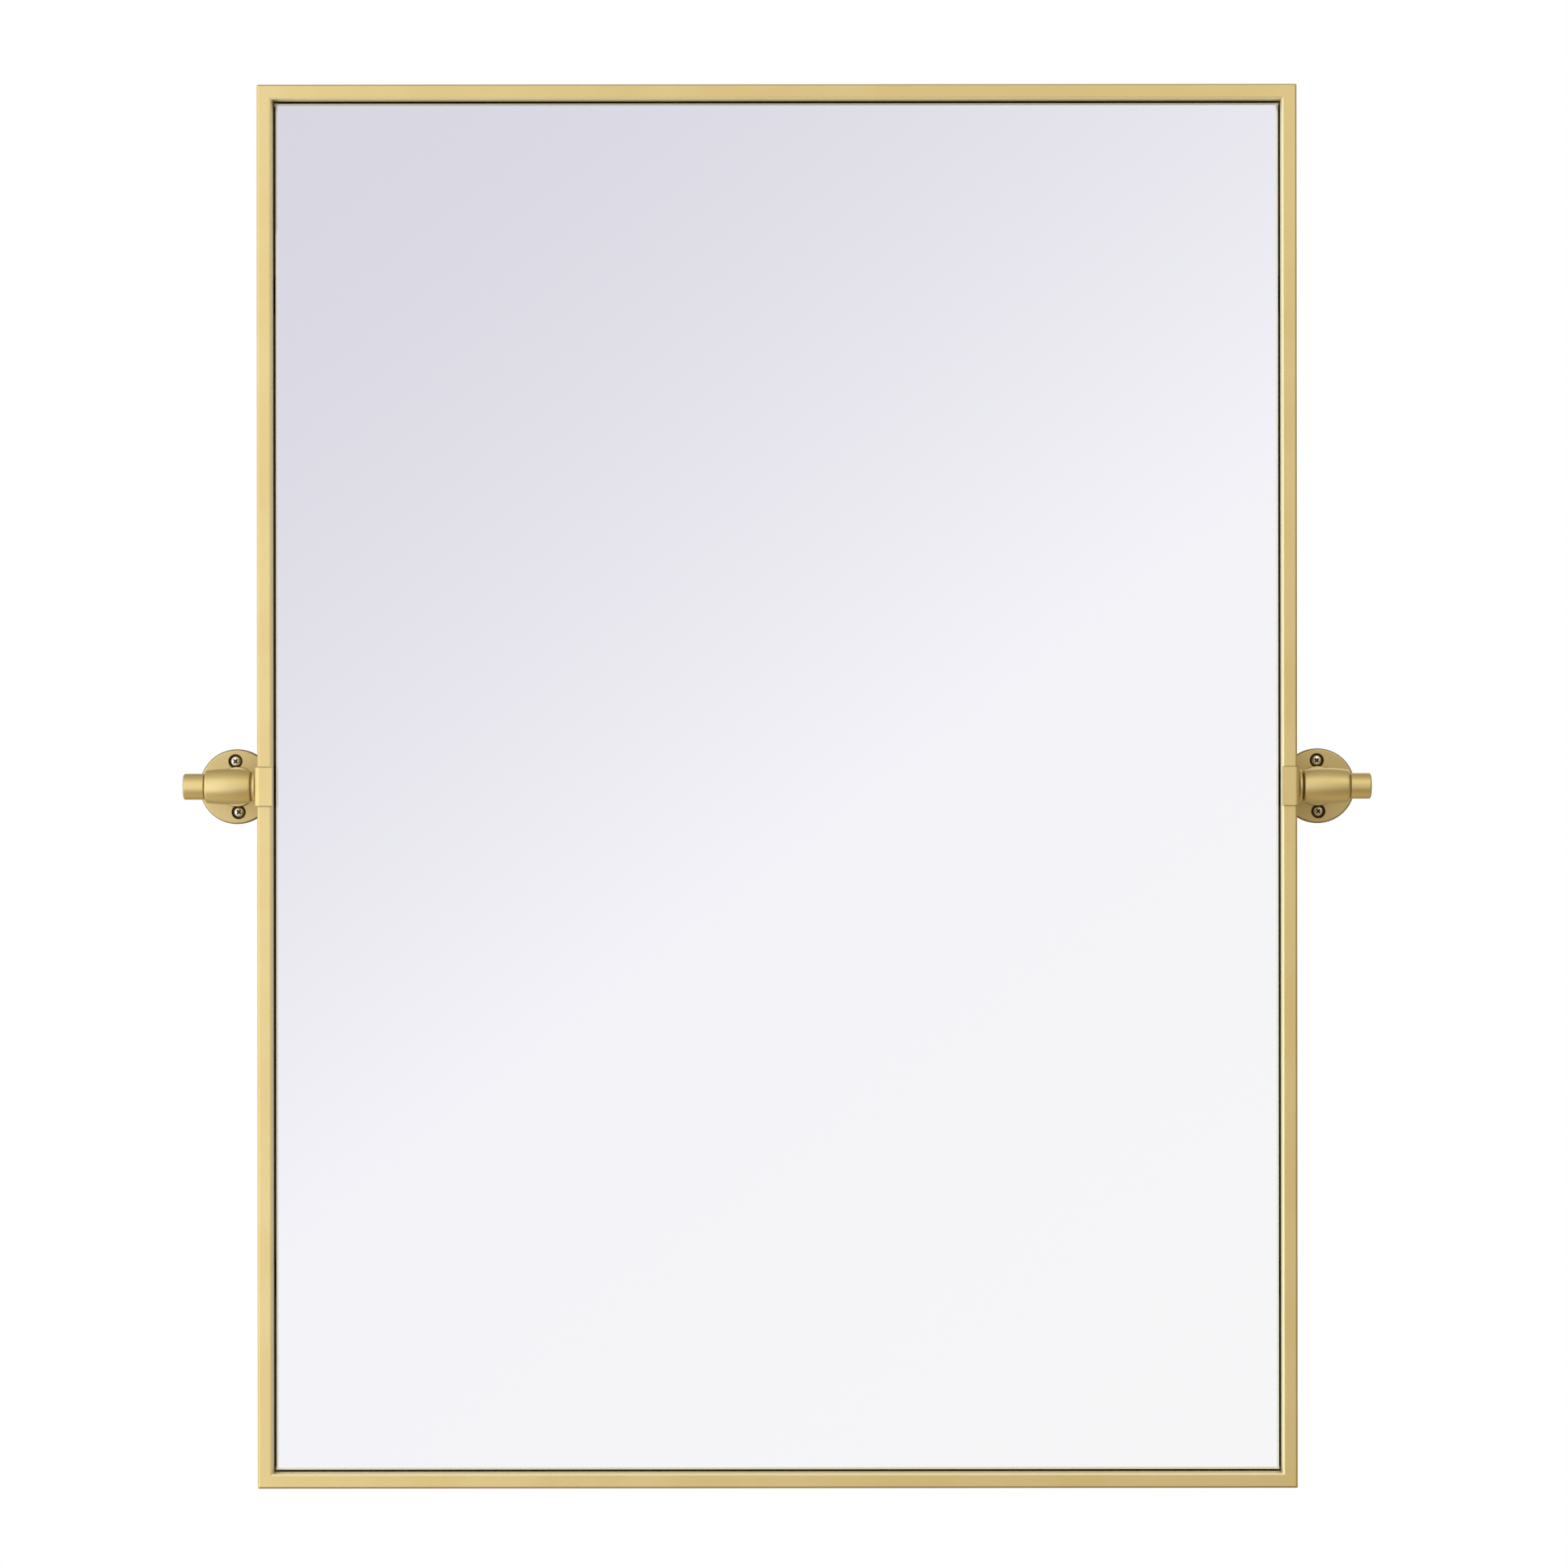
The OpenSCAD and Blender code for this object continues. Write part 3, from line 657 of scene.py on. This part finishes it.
def silvered_glass(name):
    """Silver in front, a ground seam round it, green cut edges, grey paint behind.

    The seam along the top and at the upper left corner is darker, a painted reflection.
    """
    flat, slanted = 0.98, 0.2
    top_start, top_full, top_dull = 390.0, 392.0, 0.35
    corner_height, corner_across = (318.0, 324.0), (-292.0, -288.0)
    seam_turn = 0.92
    glass = bpy.context.scene.mirror_glass_finish
    material, bench = new_finish(name)
    place = bench.place()
    face = bench.axes(bench.facing())[1]
    front = face < -flat
    seam = (face < -slanted) - front
    back = face > flat
    edge = 1.0 - front - seam - back
    frost = bench.noise(place, scale=2.4, detail=3.0)
    brushed_paint = bench.noise(place * Vector((0.05, 1.0, 0.9)), detail=4.0)
    across, _, height = bench.axes(place)
    # Painted reflection: the seam darker along the top and at the upper left corner.
    upper_left = bench.ease(height, *corner_height) * bench.fall(across, *corner_across)
    top = bench.ease(height, top_start, top_full, end=top_dull)
    seam_tone = bench.blend(top, glass.seam, glass.seam_dull)
    seam_tone = bench.blend(upper_left, seam_tone, glass.seam_dull)
    seam_tone = bench.blend(bench.ease(frost, 0.3, 0.7, end=0.12), seam_tone, glass.seam_dull)
    edge_tone = bench.blend(frost, glass.edge, toned(glass.edge, 0.7))
    paint_tone = bench.blend(brushed_paint, glass.paint, toned(glass.paint, 1.2))
    colour = bench.blend(seam, glass.silver, seam_tone)
    colour = bench.blend(edge, colour, edge_tone)
    colour = bench.blend(back, colour, paint_tone)
    rough = seam * (0.22 + frost * 0.1) + edge * (0.22 + frost * 0.25) + back * 0.55
    rounded = bench.turned_normal(seam * seam_turn, (0.0, -1.0, 0.0))
    relief = bench.bump(frost * (1.0 - front), 0.1, 0.00004, rounded)
    principled(bench, Base_Color=colour, Metallic=front + seam, Roughness=rough, Normal=relief)
    return material


def painted_board(name):
    """Black paint rolled on fibreboard: orange peel, fibres at the edges and a few scuffs."""
    small = bpy.context.scene.mirror_small
    material, bench = new_finish(name)
    place = bench.place()
    peel = bench.noise(place, scale=1.3, detail=3.0)
    fibres = bench.noise(place * Vector((0.7, 3.0, 0.7)), detail=4.0)
    roller = bench.noise(place * Vector((0.012, 0.3, 0.12)), detail=3.0)
    scuffs = bench.noise(place * Vector((0.03, 0.3, 0.5)), detail=5.0, roughness=0.7)
    dust = bench.noise(place, scale=0.012, detail=3.0)
    wear_and_highlight = bench.ease(scuffs, 0.60, 0.72) * bench.ease(dust, 0.48, 0.62)
    colour = bench.blend(wear_and_highlight * 0.55, small.board, small.board_wear)
    colour = bench.blend(bench.ease(roller, 0.4, 0.7, end=0.35), colour, small.board_wear)
    rough = 0.55 + (roller - 0.5) * 0.2 + wear_and_highlight * 0.15
    relief = bench.bump(peel * 0.6 + fibres * 0.4, 0.35, COARSE_RELIEF)
    principled(bench, Base_Color=colour, Roughness=rough, Normal=relief)
    return material


def foam_tape(name):
    """Dark closed-cell foam."""
    small = bpy.context.scene.mirror_small
    material, bench = new_finish(name)
    cells = bench.node("ShaderNodeTexVoronoi", None, {"Vector": bench.place(), "Scale": 2.2})
    colour = bench.blend(cells, small.tape, toned(small.tape, 2.0))
    relief = bench.bump(cells, 0.5, COARSE_RELIEF)
    principled(bench, Base_Color=colour, Roughness=0.8 + cells * 0.15, Normal=relief)
    return material


def clear_rubber(name):
    """Soft clear rubber with a faint skin."""
    small = bpy.context.scene.mirror_small
    material, bench = new_finish(name)
    skin = bench.noise(bench.place(), scale=1.6, detail=3.0)
    colour = bench.blend(skin, small.rubber, toned(small.rubber, 0.94))
    relief = bench.bump(skin, 0.15, 0.00005)
    principled(
        bench, Base_Color=colour, Roughness=0.22 + skin * 0.12, Normal=relief,
        Transmission_Weight=0.75, IOR=1.41,
    )
    return material


def weld_bead(name):
    """Bare weld metal, browned by heat between its ripples."""
    small = bpy.context.scene.mirror_small
    material, bench = new_finish(name)
    place = bench.place()
    heat = bench.noise(place, scale=0.6, detail=3.0)
    colour = bench.blend(bench.ease(heat, 0.4, 0.65), small.weld, toned(small.weld, 0.45))
    relief = bench.bump(bench.noise(place, scale=3.0), 0.4, 0.00008)
    principled(bench, Base_Color=colour, Metallic=1.0, Roughness=0.35 + heat * 0.25, Normal=relief)
    return material


# ---------- putting finishes and pieces in place ----------


def paint(material, *nodes):
    """Gives CAD nodes a material."""
    for node in nodes:
        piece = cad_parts[node]
        piece.data.materials.clear()
        piece.data.materials.append(material)


def soften(node, width):
    """Rounds a CAD node's sharp edges with a small bevel."""
    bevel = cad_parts[node].modifiers.new("soft_edges", "BEVEL")
    bevel.width = width
    bevel.segments = 2
    bevel.limit_method = "ANGLE"
    bevel.angle_limit = math.radians(40)
    bevel.harden_normals = True


def both(*names):
    """The left and right node of each name."""
    return [f"{side}_{name}" for side in SIDES for name in names]


def add_object(name, data):
    """A new object in the scene."""
    made = bpy.data.objects.new(name, data)
    bpy.context.scene.collection.objects.link(made)
    return made


def add_mesh(name, bm, material):
    """A mesh object with one material, made of bm and freeing it."""
    mesh = bpy.data.meshes.new(name)
    bm.to_mesh(mesh)
    bm.free()
    mesh.materials.append(material)
    return add_object(name, mesh)


def add_piece(name, bm, material, body):
    """Makes a mesh object of bm with one material, which rides on a body."""
    bmesh.ops.recalc_face_normals(bm, faces=bm.faces)
    piece = add_mesh(name, bm, material)
    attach(piece, body)
    return piece


def screw_centres(side, unit=1.0):
    """Places of a rosette's two screws as (x, z), the upper one first, in units of unit metres."""
    form = bpy.context.scene.mirror_thread
    lean = form.lean_left if side == "left" else form.lean_right
    dx, dz = form.circle / 2 * math.sin(lean), form.circle / 2 * math.cos(lean)
    x = SIDES[side] * BRACKET_X
    return [((x - dx) / unit, dz / unit), ((x + dx) / unit, -dz / unit)]


def join_rings(bm, rings):
    """Faces between neighbouring rings of vertices, and over the first and the last."""
    count = len(rings[0])
    for low, high in zip(rings, rings[1:]):
        for i in range(count):
            j = (i + 1) % count
            bm.faces.new((low[i], low[j], high[j], high[i]))
    bm.faces.new(rings[0])
    bm.faces.new(reversed(rings[-1]))


def add_thread(bm, centre, form, start, end):
    """Closed threaded shank along +Y from start to its point at end."""
    plain, run_in = 0.0002, 0.0008
    ridge_half, ridge_power, point = 0.24, 0.8, 0.06
    rows = int((end - start) / form.pitch * form.steps)
    rings = []
    for row in range(rows + 1):
        along = (end - start) * row / rows
        y = start + along
        taper = min(1.0, max(point, (end - y) / form.tip))
        rise = min(1.0, max(0.0, (y - plain) / run_in))
        ring = []
        for i in range(form.sides):
            phase = (along / form.pitch - i / form.sides) % 1.0
            ridge = max(0.0, 1.0 - abs(phase - 0.5) / ridge_half) ** ridge_power
            r = (form.core + (form.crest - form.core) * ridge * rise) / 2 * taper
            a = 2 * math.pi * i / form.sides
            ring.append(bm.verts.new((centre[0] + r * math.cos(a), y, centre[1] + r * math.sin(a))))
        rings.append(ring)
    join_rings(bm, rings)


def head_of(node):
    """A bmesh of a CAD screw node cut off just before the wall, its neck closed there."""
    cut = -0.00005
    bm = bmesh.new()
    bm.from_mesh(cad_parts[node].data)
    bmesh.ops.remove_doubles(bm, verts=bm.verts, dist=SAME_PLACE)
    bmesh.ops.bisect_plane(
        bm, geom=[*bm.verts, *bm.edges, *bm.faces], dist=SAME_PLACE / 10,
        plane_co=(0, cut, 0), plane_no=(0, 1, 0), clear_outer=True,
    )
    rim = [edge for edge in bm.edges if edge.is_boundary]
    bmesh.ops.holes_fill(bm, edges=rim, sides=0)
    return bm


def tab_boxes():
    """Low and high corner of each board tab, from the separate islands of the CAD mesh."""
    bm = bmesh.new()
    bm.from_mesh(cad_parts["board_tabs"].data)
    bmesh.ops.remove_doubles(bm, verts=bm.verts, dist=SAME_PLACE)
    seen, boxes = set(), []
    for first in bm.verts:
        if first in seen:
            continue
        stack, island = [first], []
        seen.add(first)
        while stack:
            vert = stack.pop()
            island.append(vert.co.copy())
            for edge in vert.link_edges:
                other = edge.other_vert(vert)
                if other not in seen:
                    seen.add(other)
                    stack.append(other)
        sizes = list(zip(*island))
        boxes.append((Vector([min(size) for size in sizes]), Vector([max(size) for size in sizes])))
    bm.free()
    return boxes


def add_bead(bm, root, along, inward, form, seed):
    """A rippled fillet in the corner between a tab's back and its rail."""
    out = Vector((0, 1, 0))
    rows_in_ripple, arc = 6, 6
    ripple_depth, end_size, wander = 0.18, 0.15, 0.12
    rows = int(form.length / form.ripple * rows_in_ripple)
    rings = []
    for row in range(rows + 1):
        share = row / rows
        t = (share - 0.5) * form.length
        wave = abs(math.sin(math.pi * t / form.ripple + seed))
        ends = math.sqrt(max(0.0, 1 - (2 * share - 1) ** 6))
        leg = form.leg * (1 - ripple_depth + ripple_depth * wave) * max(end_size, ends)
        corner = root + along * (t + wander * form.leg * math.sin(seed + 3 * share))
        ring = [corner]
        for i in range(arc + 1):
            a = math.pi / 2 * i / arc
            ring.append(corner + inward * leg * math.cos(a) + out * leg * math.sin(a))
        rings.append([bm.verts.new(point) for point in ring])
    join_rings(bm, rings)


# ---------- operators ----------


class MIRROR_OT_finish_frame(bpy.types.Operator):
    """Finish the four rails and the two saddle clips in satin gold, brushed along each piece."""

    bl_idname = "mirror.finish_frame"
    bl_label = "Finish the frame"

    def execute(self, context):
        level = satin_gold("satin_gold_level", (0.06, 3.2, 3.2), level_shade, opening_highlight(2, 0.35))
        upright = satin_gold(
            "satin_gold_upright", (3.2, 3.2, 0.06), upright_shade, opening_highlight(0, 1.0),
        )
        paint(level, "top_rail", "bottom_rail")
        paint(upright, "left_rail", "right_rail")
        paint(satin_gold("satin_gold_clip", (1.2, 1.2, 2.8), clip_shade), *both("clip"))
        for clip in both("clip"):
            soften(clip, context.scene.mirror_gold.clip_edge)
        return {"FINISHED"}


class MIRROR_OT_finish_brackets(bpy.types.Operator):
    """Finish arms, knobs, collars and rosettes in satin gold, brushed round their turning axes."""

    bl_idname = "mirror.finish_brackets"
    bl_label = "Finish the brackets"

    def execute(self, context):
        gold = context.scene.mirror_gold
        round_x, even = (3.4, 0.35, 0.35), (0.9, 0.9, 0.9)
        turned = satin_gold("satin_gold_turned", round_x, turned_shade, tone=gold.arm_tone)
        paint(turned, *both("pivot_arm", "knob", "collar"))
        for side in SIDES:
            name, shade = f"satin_gold_{side}_rosette", rosette_shade(side)
            paint(satin_gold(name, even, shade, tone=gold.rosette_tone), f"{side}_rosette")
        return {"FINISHED"}


class MIRROR_OT_finish_glass(bpy.types.Operator):
    """Silver the glass, with its ground seam, cut edges and painted back."""

    bl_idname = "mirror.finish_glass"
    bl_label = "Finish the glass"

    def execute(self, context):
        paint(silvered_glass("silvered_glass"), "mirror_glass")
        return {"FINISHED"}


class MIRROR_OT_finish_back(bpy.types.Operator):
    """Finish the board, tape, tabs, tab screws, rail nuts and bumpers."""

    bl_idname = "mirror.finish_back"
    bl_label = "Finish the back"

    def execute(self, context):
        zinc = zinc_plate("zinc_plate")
        paint(painted_board("painted_board"), "backing_board")
        paint(foam_tape("foam_tape"), "glass_tape")
        paint(zinc, "board_tabs", "tab_screws", *both("rail_nut", "stud", "arm_screw"))
        paint(clear_rubber("clear_rubber"), "wall_bumpers")
        return {"FINISHED"}


class MIRROR_OT_finish_washers(bpy.types.Operator):
    """Give the washers their nylon; the lighter copy on the left and knob washers is painted light.
    """

    bl_idname = "mirror.finish_washers"
    bl_label = "Finish the washers"

    def execute(self, context):
        small = context.scene.mirror_small
        dark = moulded_nylon("dark_nylon", small.nylon)
        # Painted light: a lighter copy of the nylon on the left friction washer and the knob
        # washers; the right friction washer's dark nylon also stands for its shade.
        lit = moulded_nylon("tan_nylon", small.tan_nylon)
        paint(dark, "right_friction_washer", *both("clip_washer"))
        paint(lit, "left_friction_washer", *both("knob_washer"))
        return {"FINISHED"}


class MIRROR_OT_build_wall_screws(bpy.types.Operator):
    """Build the wall screws with a real thread behind their CAD heads."""

    bl_idname = "mirror.build_wall_screws"
    bl_label = "Build the wall screws"

    def execute(self, context):
        form = context.scene.mirror_thread
        shank_start = -0.0006
        for side in SIDES:
            node = f"{side}_wall_screws"
            bm = head_of(node)
            for centre in screw_centres(side):
                add_thread(bm, centre, form, shank_start, SCREW_END)
            plating = screw_plating(f"screw_plating_{side}", screw_centres(side, MM))
            piece = add_piece(f"{side}_threaded_screws", bm, plating, BRACKET_BODY)
            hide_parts(node)
        return {"FINISHED"}


class MIRROR_OT_build_tab_welds(bpy.types.Operator):
    """Lay a weld bead along the root of each board tab."""

    bl_idname = "mirror.build_tab_welds"
    bl_label = "Build the tab welds"

    def execute(self, context):
        form = context.scene.mirror_weld
        bm = bmesh.new()
        for i, (low, high) in enumerate(tab_boxes()):
            root = Vector(((low.x + high.x) / 2, high.y, (low.z + high.z) / 2))
            length, width = (0, 2) if high.x - low.x > high.z - low.z else (2, 0)
            outward = 1 if root[width] > 0 else -1
            root[width] = high[width] if outward > 0 else low[width]
            along, inward = Vector(), Vector()
            along[length], inward[width] = 1, -outward
            add_bead(bm, root, along, inward, form, seed=0.7 * i)
        add_piece("tab_welds", bm, weld_bead("weld_bead"), PANEL_BODY)
        return {"FINISHED"}


# Size, place and target of each lamp, in metres
LAMPS = {
    "key": ((0.36, 1.4), (-0.66, -1.0, 0.10), (-0.1, PIVOT_Y, 0.0)),
    "low": ((0.9, 0.8), (-1.1, -1.6, -0.80), (0, PIVOT_Y, -0.1)),
    "high": ((0.55, 0.55), (0.85, -1.05, 0.85), (0, PIVOT_Y, 0.1)),
    "rear": ((1.2, 1.2), (0.9, 1.9, 0.9), (0, PIVOT_Y, 0)),
}


def add_lamp(name, power, tint, size, place, target):
    """A rectangular soft lamp at place, turned to target."""
    data = bpy.data.lights.new(name, "AREA")
    data.shape = "RECTANGLE"
    data.size, data.size_y = size
    data.energy = power
    data.color = tint
    lamp = add_object(name, data)
    lamp.location = place
    lamp.visible_camera = False
    lamp.rotation_euler = (Vector(target) - Vector(place)).to_track_quat("-Z", "Y").to_euler()


def studio_world(light):
    """White for the camera; for the object, a soft studio, bright in front and dim behind.

    A disc straight in front holds the gradient that the glass shows the photograph's camera.
    Other sharp reflections, which are only the glass's, see soft pale sweeps in place of the
    studio's shades.
    """
    disc_full, disc_end = 0.19, 0.50
    world = bpy.data.worlds.new("studio")
    bpy.context.scene.world = world
    world.use_nodes = True
    bench = Bench(world.node_tree)
    x, y, z = bench.axes(bench.node("ShaderNodeTexCoord", output="Generated"))
    lean = x - z * 1.3
    mirrored = bench.node(
        "ShaderNodeValToRGB",
        {"stops": [(0.0, light.dim), (0.60, light.mid), (1.0, light.bright)]},
        {0: bench.ease(lean, -0.30, 0.26)},
    )
    disc = bench.fall((x * x + z * z) ** 0.5, disc_full, disc_end) * (y < 0)
    across = x + z * y * 0.2
    front = bench.blend(bench.ease(across, -0.55, -0.02), light.left, light.centre)
    front = bench.blend(bench.ease(across, 0.02, 0.55), front, light.right)
    front = bench.blend(bench.ease(x * 0.7 - z * 1.3, 0.0, 0.62), front, light.corner)
    sides = bench.blend(bench.ease(x, -0.3, 0.3), light.rim_left, light.rim_right)
    ends = bench.blend(bench.ease(z, -0.3, 0.3), light.rim_down, light.rim_up)
    rim = bench.blend(z * z / (x * x + z * z + 0.0001), sides, ends)
    wide = bench.blend(bench.ease(y, -0.80, -0.15), front, rim)
    wide = bench.blend(bench.ease(y, 0.05, 0.60), wide, light.behind)
    wave = bench.node("ShaderNodeMath", {"operation": "SINE"}, {0: lean * light.sweeps})
    calm = bench.blend(wave * 0.5 + 0.5, light.calm_low, light.calm_high)
    wide = bench.blend(bench.ray("Is Singular Ray"), wide, calm)
    direct = bench.larger(bench.ray("Is Camera Ray"), bench.ray("Is Transmission Ray"))
    colour = bench.blend(direct, bench.blend(disc, wide, mirrored), WHITE)
    background = bench.node("ShaderNodeBackground", None, {"Color": colour, "Strength": 1.0})
    bench.node("ShaderNodeOutputWorld", None, {"Surface": background})


def studio_floor(light):
    """A round pale floor. It fades out at its rim, hides from gloss and is hazy to the camera."""
    forward, full_share = 0.1, 0.6
    material, bench = new_finish("studio_floor")
    place = bench.place()
    x, y, _ = bench.axes(place)
    radius = light.floor_radius / MM
    rim = bench.ease((x * x + y * y) ** 0.5, radius * full_share, radius)
    speck = bench.noise(place, scale=0.2, detail=3.0)
    tone = bench.blend(speck, light.floor, toned(light.floor, 0.98))
    matt = bench.node("ShaderNodeBsdfDiffuse", None, {"Color": tone})
    clear = bench.node("ShaderNodeBsdfTransparent")
    faded = bench.larger(rim, bench.ray("Is Glossy Ray"))
    solid = (1.0 - faded) * (1.0 - bench.ray("Is Camera Ray") * light.floor_haze)
    mixed = bench.node("ShaderNodeMixShader", None, {0: 1.0 - solid, 1: matt, 2: clear})
    bench.node("ShaderNodeOutputMaterial", None, {"Surface": mixed})
    bm = bmesh.new()
    bmesh.ops.create_circle(bm, cap_ends=True, segments=96, radius=light.floor_radius)
    floor = add_mesh("studio_floor", bm, material)
    floor.location = (0, PIVOT_Y - forward, -light.floor_drop)


def photo_camera(view):
    """The photograph's camera, looking level along +Y at the frame."""
    data = bpy.data.cameras.new("photo_camera")
    data.sensor_width = view.sensor
    data.lens = view.lens
    data.clip_start, data.clip_end = 0.05, 50
    camera = add_object("photo_camera", data)
    camera.location = (view.across, FRAME_LOW.y - view.distance, view.height)
    camera.rotation_euler = (math.pi / 2, view.roll, 0)
    bpy.context.scene.camera = camera


class MIRROR_OT_set_stage(bpy.types.Operator):
    """Set up the floor, the soft lamps, the surroundings and the photograph's camera."""

    bl_idname = "mirror.set_stage"
    bl_label = "Set the stage"

    def execute(self, context):
        light = context.scene.mirror_light
        studio_world(light)
        studio_floor(light)
        for name, placing in LAMPS.items():
            power, tint = getattr(light, name), getattr(light, f"{name}_tint")
            add_lamp(f"{name}_lamp", power, tint, *placing)
        photo_camera(context.scene.mirror_view)
        context.scene.view_settings.view_transform = "Standard"
        return {"FINISHED"}


# ---------- sidebar ----------


class MIRROR_PT_sidebar(bpy.types.Panel):
    """Steps that dress the mirror, in order."""

    bl_label = "Pivot wall mirror"
    bl_idname = "MIRROR_PT_sidebar"
    bl_space_type = "VIEW_3D"
    bl_region_type = "UI"
    bl_category = "Mirror"

    def draw(self, context):
        for step in STEPS:
            self.layout.operator(step.bl_idname)
        for name in SETTINGS:
            box = self.layout.box()
            group = getattr(context.scene, name)
            for field in group.__annotations__:
                box.prop(group, field)


STEPS = (
    MIRROR_OT_finish_frame,
    MIRROR_OT_finish_brackets,
    MIRROR_OT_finish_glass,
    MIRROR_OT_finish_back,
    MIRROR_OT_finish_washers,
    MIRROR_OT_build_wall_screws,
    MIRROR_OT_build_tab_welds,
    MIRROR_OT_set_stage,
)
SETTINGS = {
    "mirror_gold": GoldFinish,
    "mirror_small": SmallParts,
    "mirror_glass_finish": GlassFinish,
    "mirror_thread": ThreadForm,
    "mirror_weld": WeldForm,
    "mirror_light": StudioLight,
    "mirror_view": CameraPlace,
}


def register():
    """Adds the settings, steps and panel to Blender."""
    for made in (*SETTINGS.values(), *STEPS, MIRROR_PT_sidebar):
        bpy.utils.register_class(made)
    for name, group in SETTINGS.items():
        setattr(bpy.types.Scene, name, PointerProperty(type=group))


def unregister():
    """Takes them out again."""
    for name in SETTINGS:
        delattr(bpy.types.Scene, name)
    for made in (MIRROR_PT_sidebar, *reversed(STEPS), *reversed(SETTINGS.values())):
        bpy.utils.unregister_class(made)


def main():
    """Runs every step in order."""
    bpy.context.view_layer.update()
    register()
    for step in STEPS:
        group, name = step.bl_idname.split(".")
        getattr(getattr(bpy.ops, group), name)()


if __name__ == "__main__":
    main()
